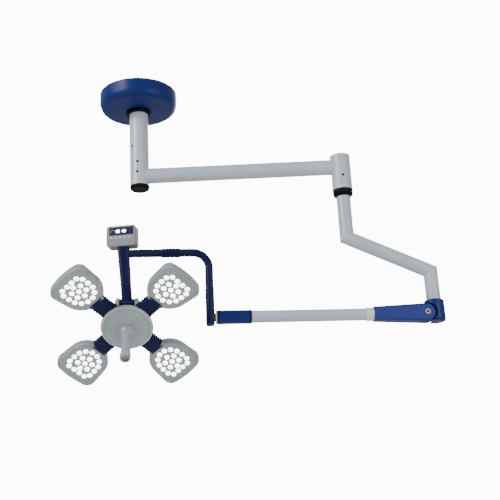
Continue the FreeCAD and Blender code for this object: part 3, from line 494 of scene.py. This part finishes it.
def arm_rings():
    # Grooved ring of the cover, front sleeve with its two bands, and the soft washer at its end.
    bore = span("arm_tube", ARM)[1].x + 0.05
    low, high = span("arm_cover_ring", ARM)
    r, a, b = high.x, low.z, high.z
    ring = [(bore, a), (r, a), (r, a + 1.2), (r - 0.8, a + 1.8), (r - 0.8, a + 3), (r, a + 3.6), (r, b - 3),
            (r - 2.4, b), (bore, b)]
    turned("cover_ring", ARM, ring, "cream_plastic", "spring_arm", "arm_cover_ring", radius=0.8)
    low, high = span("front_sleeve", ARM)
    r, a, b = high.x, low.z, high.z
    sleeve = [(bore, a), (r - 1.5, a), (r, a + 1.5), (r, b - 1.5), (r - 1.5, b), (NECK_BORE, b),
              (NECK_BORE, b - 4), (bore, b - 4)]
    turned("sleeve_body", ARM, sleeve, "blue_paint", "spring_arm", "front_sleeve")
    for name, at in (("sleeve_band_a", a + 3), ("sleeve_band_b", b - 10)):
        band = [(r - 1, at), (r + 0.35, at), (r + 0.35, at + 7), (r - 1, at + 7)]
        turned(name, ARM, band, "navy_paint", "spring_arm", radius=0.3)
    low, high = span("nylon_washer", ARM)
    washer = [(NECK_BORE, low.z), (high.x, low.z), (high.x, high.z), (NECK_BORE, high.z)]
    turned("washer_soft", ARM, washer, "cream_plastic", "spring_arm", "nylon_washer", radius=1.4)


def pivot_rings():
    # Pale washer and dark socket bolt on each side of the pivot.
    half = span("pivot_caps", ARM)[1].y
    washers, bolts = bmesh.new(), bmesh.new()
    for side in (-1, 1):
        y = joint_axis("arm_tilt") * side
        space = in_mm(basis(joint_at("arm_tilt") + y * (half - 4) * MM, ARM_UP, y.cross(ARM_UP), y))
        lathe(washers, space, softened([(6.2, 0), (10.5, 0), (10.5, 2.4), (6.2, 2.4)], 0.9), 64)
        lathe(bolts, space, softened([(0, 0), (6, 0), (6, 3.9), (3, 3.9), (3, 1.4), (0, 1.4)], 0.5), 48)
    piece("pivot_washers", washers, "key", BODY_OF["pivot_caps"], "pivot_caps")
    piece("pivot_bolts", bolts, "dark_steel", BODY_OF["pivot_caps"])


def upright_sleeve():
    # Sleeve round the bow's upright where the swivel spindle enters it, with a rounded foot.
    low, high = span("bow_tube", YOKE)
    r = (high.y - low.y) / 2
    bow_x = high.x - r
    space = YOKE @ Matrix.Translation(Vector((bow_x, 0, 0)))
    foot, top = low.z, low.z + 158
    sleeve = [(r - 1, foot + 9), (r + 1.4, foot + 10), (r + 1.4, top - 2), (r + 0.6, top), (r - 1, top)]
    turned("upright_sleeve", space, sleeve, "navy_paint", "bow", radius=0.8)
    dome = [(0, foot + 0.2)]
    for a in (math.radians(degrees) for degrees in range(15, 91, 15)):
        dome.append(((r - 0.2) * math.sin(a), foot + 8.2 - 8 * math.cos(a)))
    dome += [(r - 0.2, foot + 9.5), (0, foot + 9.5)]
    bm = bmesh.new()
    lathe(bm, space, dome, 64)
    piece("upright_foot", bm, "navy_paint", "bow", degrees=50)


def rail_band():
    # Raised band round the bow's rail, between start and end from the upright's centre.
    low, high = span("bow_tube", YOKE)
    r = (high.y - low.y) / 2
    corner = Matrix.Translation(Vector((high.x - r, 0, high.z - r)))
    space = YOKE @ corner @ Matrix.Rotation(math.radians(-90), 4, "Y")
    bm = bmesh.new()
    start, end = 118.0, 196.0
    lathe(bm, space, softened([(r - 1, start), (r + 2.2, start), (r + 2.2, end), (r - 1, end)], 1.4), 64)
    piece("rail_band", bm, "navy_paint", "bow", degrees=40)


# ---- control box ----

def box_shell():
    # Case with a sunk front, a rounded lip round it and a rounded back.
    low, high = span("control_housing", BOX)
    wall, edge = 3.0, 7.0
    front, back = low.y, high.y
    loops = []

    def loop(inset, y, corner):
        flat = rounded_box((low.x + inset, low.z + inset), (high.x - inset, high.z - inset), corner)
        return [BOX @ Vector((x, y, z)) for x, z in flat]

    loops.append(loop(wall + 0.2, back - wall, 9))
    loops.append(loop(wall + 0.2, front + 1.4, 9))
    for k in range(4):
        a = math.radians(90) * k / 3
        loops.append(loop(wall - (wall - 1.2) * math.sin(a) * 0.9 - 0.2, front + 1.2 * (1 - math.sin(a)), 10))
    loops.append(loop(0.5, front + 0.4, 11.4))
    loops.append(loop(0, front + 1.6, 12))
    loops.append(loop(0, back - edge, 12))
    for k in range(1, 7):
        a = math.radians(90) * k / 6
        loops.append(loop(edge * (1 - math.cos(a)), back - edge * (1 - math.sin(a)), 12))
    bm = bmesh.new()
    loft(bm, loops)
    piece("box_shell", bm, "box_grey", "bow", "control_housing", degrees=38)


def box_ledge():
    # Raised band under the keys.
    low, high = span("control_housing", BOX)
    z0, z1 = low.z + 10, span("button_1", BOX)[0].z - 7
    front = span("control_panel", BOX)[0].y
    bm = bmesh.new()
    loops = []
    for inset, rise in ((0.0, -0.2), (0.0, 0.4), (0.7, 0.9), (1.6, 0.2), (1.6, -0.2)):
        y = front - rise
        corner = 3 - inset * 0.5
        flat = rounded_box((low.x + 9 + inset, z0 + inset), (high.x - 9 - inset, z1 - inset), corner)
        loops.append([BOX @ Vector((x, y, z)) for x, z in flat])
    loft(bm, loops)
    piece("box_ledge", bm, "head_grey", "bow", degrees=38)


def window_marks():
    # Two plain lit marks and an arch line in the window.
    low, high = span("control_window", BOX)
    y = low.y
    bm = bmesh.new()
    mid = (low.z + high.z) / 2
    for x, w, h in ((low.x + 36, 8.0, 13.0), (low.x + 62, 8.0, 12.0)):
        flat = rounded_box((x - w, mid - h / 2), (x + w, mid + h / 2), 3)
        loft(bm, [[BOX @ Vector((px, yy, pz)) for px, pz in flat] for yy in (y + 0.1, y - 0.25)])
    piece("window_marks", bm, "lens", "bow", degrees=38)
    bm = bmesh.new()
    r, thick = 11.0, 1.2
    arc = [math.radians(180 - 15 * k) for k in range(13)]
    cx, cz = low.x + 15, mid - 4
    outer = [(cx + r * math.cos(a), cz + r * math.sin(a)) for a in arc]
    inner = [(cx + (r - thick) * math.cos(a), cz + (r - thick) * math.sin(a)) for a in reversed(arc)]
    flat = outer + inner
    loft(bm, [[BOX @ Vector((px, yy, pz)) for px, pz in flat] for yy in (y + 0.1, y - 0.25)])
    piece("window_arch", bm, "key", "bow", degrees=38)


# ---- lamp head ----

def hub_faces():
    # Rim, domed cover with a step near its edge, and the seal between them.
    low, high = span("hub_rim", HEAD)
    r, a, b = high.x, low.z, high.z
    bore = span("hub_dome", HEAD)[1].x + 0.05
    rim = [(bore, a), (r - 1, a), (r, a + 2), (r, b - 5), (r - 1.6, b - 1.4), (r - 3.6, b),
           (bore + 1, b - 0.3), (bore, b - 1.8)]
    turned("rim_ring", HEAD, rim, "shell_grey", "lamp_head", "hub_rim", radius=0.9, count=160)
    dome_r, dome_h = bore - 0.1, span("hub_dome", HEAD)[1].z
    step_r, step_z = dome_r * 0.86, 9.0
    neck = span("handle_boss", HEAD)[1].x - 6.05
    outer = [(dome_r, -5), (dome_r, 2), (dome_r - 1.4, 3.2), (dome_r * 0.9, step_z - 3.4),
             (step_r + 1.6, step_z - 3), (step_r, step_z)]
    for k in range(1, 12):
        t = k / 12
        rise = (dome_h - step_z) * math.sin(t * math.pi / 2)
        outer.append((step_r + (neck + 5 - step_r) * t, step_z + rise))
    outer += [(neck + 2, dome_h), (neck, dome_h - 1)]
    inner = [(neck, dome_h - 3)] + [(x - 1.5, z - 3) for x, z in reversed(outer[6:-3])] + [(dome_r - 3, -5)]
    bm = bmesh.new()
    lathe(bm, HEAD, softened(outer + inner, 1.2, 3), 160)
    piece("dome_skin", bm, "shell_grey", "lamp_head", "hub_dome", degrees=50)
    seal = [(bore - 1.6, b - 2.4), (bore + 2.2, b - 2.4), (bore + 2.2, b + 0.2), (bore - 1.6, b - 0.8)]
    turned("rim_seal", HEAD, seal, "cream_plastic", "lamp_head", radius=0.5, count=160)


def handle():
    # Conical boss on the dome, and the grip with twelve shallow flutes round its middle.
    high = span("handle_boss", HEAD)[1]
    base, seam, r = BOSS_BASE, high.z, high.x
    outline = [(10.1, base - 8), (r - 6.05, base - 8), (r - 6.05, base), (r, base), (r, base + 3),
               (r - 3.5, base + 8), (r - 8, base + 17), (23.4, seam - 7), (22, seam - 1.5), (21, seam),
               (10.1, seam)]
    turned("boss_skin", HEAD, outline, "shell_grey", BODY_OF["handle_boss"], "handle_boss", radius=1.6)
    high = span("handle_grip", HEAD)[1]
    start, end, wide = seam + 0.35, high.z, high.x
    outline = [(0, 21), (10, 21), (10, start), (21, start), (21.2, start + 3), (19.2, start + 9)]
    for k in range(0, 13):
        t = k / 12
        outline.append((18.7 - 0.6 * math.sin(t * math.pi), start + 12 + (end - 40 - start - 12) * t))
    outline += [(19.8, end - 34), (wide - 0.6, end - 27), (wide, end - 24), (wide, end - 6),
                (wide - 1.4, end - 1.6), (wide - 3.4, end), (15.4, end), (14.6, end - 1.5), (14.2, end - 11),
                (0, end - 11)]

    def flutes(a, r, z):
        if not start + 9 < z < end - 32:
            return r
        fade = min(1.0, (z - start - 9) / 10, (end - 32 - z) / 10)
        return r - 1.5 * fade * max(0.0, math.cos(12 * a)) ** 2

    bm = bmesh.new()
    lathe(bm, HEAD, softened(outline, 0.8, 3), 192, flutes)
    piece("grip_skin", bm, "shell_grey", "handle", "handle_grip", degrees=50)


def petal_space(k):
    # Frame of a petal: origin at its centre, x away from the hub, z out of its face.
    spin = Matrix.Rotation(math.radians(45 + 90 * k), 4, "Z")
    lean = Matrix.Rotation(math.radians(-PETAL_CANT), 4, "Y")
    return HEAD @ spin @ Matrix.Translation(Vector((PETAL_AT, 0, 0))) @ lean


def between(start, end):
    # Points along a straight side, without its ends.
    return [tuple(a + (b - a) * k / 8 for a, b in zip(start, end)) for k in range(1, 8)]


def petal_loop(inset, z, space):
    # Rounded triangle, inset from the petal's edge; every loop has the same number of points.
    ax, ar = PETAL_INNER[0], PETAL_INNER[1] - inset
    bx, by, br = PETAL_OUTER[0], PETAL_OUTER[1], PETAL_OUTER[2] - inset
    turn = math.atan2(by, bx - ax) + math.acos(max(-1, min(1, (ar - br) / math.hypot(bx - ax, by))))
    br = max(br, 0.6)
    corner = [(bx + br * math.cos(turn * k / 8), by + br * math.sin(turn * k / 8)) for k in range(9)]
    other_corner = [(x, -y) for x, y in reversed(corner)]
    root = []
    for k in range(33):
        a = turn + (TURN - 2 * turn) * k / 32
        root.append((ax + ar * math.cos(a), ar * math.sin(a)))
    points = corner + between(corner[-1], root[0]) + root + between(root[-1], other_corner[0]) + other_corner
    for k in range(1, 8):
        t = k / 8
        points.append((bx + br + PETAL_BULGE * 4 * t * (1 - t), -by + 2 * by * t))
    return [space @ Vector((x, y, z)) for x, y in points]


# Profiles round a petal, as (inset, height) pairs from the back to the face
SHELL_LEVELS = [(26, -45.8), (13, -45.6), (7, -43.6), (2.8, -39.0), (0.6, -32.5), (0, -25), (0, -17.2),
                (0.9, -16.6), (0.9, -15.4), (0, -14.8), (0, -5), (0.35, -2.4), (1.3, -0.7), (2.6, 0),
                (3.05, -0.6), (3.05, -13.5), (12, -13.8), (12, -40), (26, -42)]
FACE_LEVELS = [(3.1, -12), (3.1, -0.6), (3.7, 0), (5.4, 0.1), (6.6, -0.7), (7.4, -2.6), (8.6, -3.9),
               (10.2, -4.2)]


def lens_places():
    # Centre of each lens of each petal, in that petal's own frame.
    places = {k: [] for k in range(4)}
    for centre in islands("led_lenses"):
        k = min(range(4), key=lambda i: (petal_space(i).inverted() @ centre).length)
        local = petal_space(k).inverted() @ centre
        places[k].append((local.x, local.y))
    return places


def petals():
    shells, faces, lenses, rings = bmesh.new(), bmesh.new(), bmesh.new(), bmesh.new()
    places = lens_places()
    for k in range(4):
        space = petal_space(k)
        loft(shells, [petal_loop(i, z, space) for i, z in SHELL_LEVELS])
        face_plate(faces, space, places[k])
        for x, y in places[k]:
            spot = space @ Matrix.Translation(Vector((x, y, 0)))
            lens(lenses, spot)
            bezel(rings, spot)
    piece("petal_skins", shells, "shell_grey", "lamp_head", "petal_shells", degrees=44)
    piece("petal_plates", faces, "shell_grey", "lamp_head", "petal_faces", degrees=30)
    piece("lens_domes", lenses, "lens", "lamp_head", "led_lenses", degrees=50, extra=(CORE,))
    piece("lens_bezels", rings, "head_grey", "lamp_head", degrees=50)


def face_plate(bm, space, places):
    # Recessed plate with one dished cup for each lens, made flat and then placed.
    before = set(bm.verts)
    rings = loft(bm, [petal_loop(i, z, Matrix.Identity(4)) for i, z in FACE_LEVELS], cap_end=False)
    edges = boundary(rings[-1])
    for x, y in places:
        cup = []
        for r, z in ((LENS_R + 1.3, -4.2), (LENS_R + 0.9, -4.9), (LENS_R + 0.5, -9.0)):
            cup.append([bm.verts.new(Vector((x + r * math.cos(a), y + r * math.sin(a), z)))
                        for a in (TURN * i / 32 for i in range(32))])
        bridge(bm, cup[0], cup[1])
        bridge(bm, cup[1], cup[2])
        bm.faces.new(cup[2])
        edges += boundary(cup[0])
    bmesh.ops.triangle_fill(bm, edges=edges, use_beauty=True, normal=(0, 0, 1))
    bmesh.ops.transform(bm, matrix=space, verts=[v for v in bm.verts if v not in before])


def boundary(ring):
    # Edges round a closed ring of vertices.
    found = []
    for a, b in zip(ring, ring[1:] + ring[:1]):
        found.append(next(e for e in a.link_edges if e.other_vert(a) is b))
    return found


def lens(bm, spot):
    # Domed lens with a small core, which takes the second material.
    r = LENS_R - 0.2
    outline = [(0, -8.6), (r - 0.6, -8.6), (r, -8.0), (r, -2.4)]
    for k in range(1, 8):
        a = math.radians(90) * k / 8
        outline.append((r * math.cos(a) ** 0.7, -2.4 + 3.6 * math.sin(a)))
    outline += [(3.6, 1.25), (3.2, 0.9)]
    faces_before = len(bm.faces)
    lathe(bm, spot, outline + [(0, 0.75)], 40)
    bm.faces.ensure_lookup_table()
    for face in bm.faces[faces_before:]:
        centre = spot.inverted() @ face.calc_center_median()
        if centre.z > 0.4 and math.hypot(centre.x, centre.y) < 3.3:
            face.material_index = 1


def bezel(bm, spot):
    # Small raised ring round a lens, standing on the face plate.
    r = LENS_R
    outline = [(r + 0.2, -6.0), (r + 1.7, -4.6), (r + 1.5, -2.9), (r + 0.6, -2.3), (r, -3.2)]
    lathe(bm, spot, softened(outline, 0.4, 2), 40)


def necks():
    # Ribbed bellows between hub and petals, plain where they enter the hub.
    bm = bmesh.new()
    wide, thick, top = 36.0, 18.0, -6.0
    steps = 72
    for k in range(4):
        space = HEAD @ Matrix.Rotation(math.radians(45 + 90 * k), 4, "Z")
        loops = []
        for i in range(steps + 1):
            x = NECK_START + (NECK_END - NECK_START) * i / steps
            ribs = (x - NECK_RIBS_FROM) / NECK_RIB_PITCH
            wave = 0.5 - 0.5 * math.cos(TURN * ribs) if ribs > 0 else 1.0
            w, h = wide - 2.4 * (1 - wave), thick - 2.0 * (1 - wave)
            flat = rounded_box((-w, top - thick - h), (w, top - thick + h), 7, 5)
            loops.append([space @ Vector((x, y, z)) for y, z in flat])
        loft(bm, loops)
    piece("neck_bellows", bm, "navy_paint", "lamp_head", "petal_necks", degrees=40)


def neck_seams():
    # Pale gasket where each neck enters its petal.
    bm = bmesh.new()
    for k in range(4):
        space = petal_space(k)
        ax, ar = PETAL_INNER[0], PETAL_INNER[1]
        rings = []
        for i in range(41):
            a = math.radians(180 - 26 + 52 * i / 40)
            out = Vector((math.cos(a), math.sin(a), 0))
            centre = Vector((ax, 0, -1.6)) + out * (ar + 0.6)
            rings.append([space @ (centre + out * 1.5 * math.cos(t) + Vector((0, 0, 1.3 * math.sin(t))))
                          for t in (TURN * j / 8 for j in range(8))])
        loft(bm, rings)
    piece("neck_gaskets", bm, "cream_plastic", "lamp_head", degrees=60)


canopy()
collar()
dished_cap("column_foot", "column_end_cap", COLUMN, "main_arm", False)
dished_cap("hub_top", "hub_cap", HUB, "main_arm", True)
arm_r = span("main_arm_tube", COLUMN)[1].y
weld("weld_column", COLUMN_AXIS, Vector((1, 0, 0)), span("main_arm_sleeve", COLUMN)[1].y, arm_r)
weld("weld_hub", HUB_AXIS, Vector((-1, 0, 0)), span("outer_hub", HUB)[1].y, arm_r)
mitre_beads()
screws("brake_socket_screws", "brake_screws", nearest_swivel, 6.0)
screws("column_socket_screw", "column_set_screw", nearest_swivel, 5.0)
screws("crank_socket_screws", "crank_set_screws", lambda centre: joint_at("knuckle_turn"), 4.0)
arm_rings()
pivot_rings()
upright_sleeve()
rail_band()
box_shell()
box_ledge()
window_marks()
hub_faces()
handle()
petals()
necks()
neck_seams()


# ---- camera, light and stage ----

def camera():
    data = bpy.data.cameras.new("camera")
    ob = bpy.data.objects.new("camera", data)
    bpy.context.scene.collection.objects.link(ob)
    az, pitch, roll = (math.radians(a) for a in CAMERA_AIM)
    look = Vector((math.sin(az) * math.cos(pitch), math.cos(az) * math.cos(pitch), math.sin(pitch)))
    right0 = Vector((math.cos(az), -math.sin(az), 0))
    up0 = right0.cross(look)
    right = right0 * math.cos(roll) + up0 * math.sin(roll)
    up = up0 * math.cos(roll) - right0 * math.sin(roll)
    ob.matrix_world = basis(Vector(CAMERA_AT), right, up, -look)
    data.sensor_width = CAMERA_SENSOR
    data.lens = CAMERA_LENS
    data.clip_end = 60
    bpy.context.scene.camera = ob


def area_light(name, place, aim, size, power):
    data = bpy.data.lights.new(name, "AREA")
    data.shape = "DISK"
    data.size = size
    data.energy = power
    ob = bpy.data.objects.new(name, data)
    ob.location = place
    ob.rotation_euler = (Vector(aim) - Vector(place)).to_track_quat("-Z", "Y").to_euler()
    bpy.context.scene.collection.objects.link(ob)


def studio():
    # Soft light from all round, a white backdrop for the camera only, and three round lamps.
    world = bpy.data.worlds.new("studio")
    bpy.context.scene.world = world
    world.use_nodes = True
    tree = world.node_tree
    soft = tree.nodes["Background"]
    soft.inputs["Color"].default_value = (1, 1, 1, 1)
    soft.inputs["Strength"].default_value = SOFT_LIGHT
    white = tree.nodes.new("ShaderNodeBackground")
    white.inputs["Color"].default_value = (1, 1, 1, 1)
    white.inputs["Strength"].default_value = BACKDROP_LIGHT
    seen = tree.nodes.new("ShaderNodeLightPath")
    mix = tree.nodes.new("ShaderNodeMixShader")
    tree.links.new(seen.outputs["Is Camera Ray"], mix.inputs["Fac"])
    tree.links.new(soft.outputs["Background"], mix.inputs[1])
    tree.links.new(white.outputs["Background"], mix.inputs[2])
    tree.links.new(mix.outputs["Shader"], tree.nodes["World Output"].inputs["Surface"])
    area_light("key_light", (-2.9, -2.8, 1.5), (0.5, 0, -0.8), 1.8, 200)
    area_light("fill_light", (3.2, -2.8, -0.6), (0.6, 0, -0.8), 2.4, 60)
    area_light("rim_light", (1.0, 3.2, 0.6), (0.5, 0, -0.7), 2.4, 60)


def floor():
    mesh = bpy.data.meshes.new("floor")
    corners = [(x * FLOOR_HALF, y * FLOOR_HALF, 0) for x, y in ((-1, -1), (1, -1), (1, 1), (-1, 1))]
    mesh.from_pydata(corners, [], [(0, 1, 2, 3)])
    ob = bpy.data.objects.new("floor", mesh)
    ob.location = (0.5, 0, FLOOR_Z)
    bpy.context.scene.collection.objects.link(ob)
    mesh.materials.append(paint("floor_pale", (0.85, 0.85, 0.85), 0.6, coat=0.0, grain=60.0))


camera()
studio()
floor()
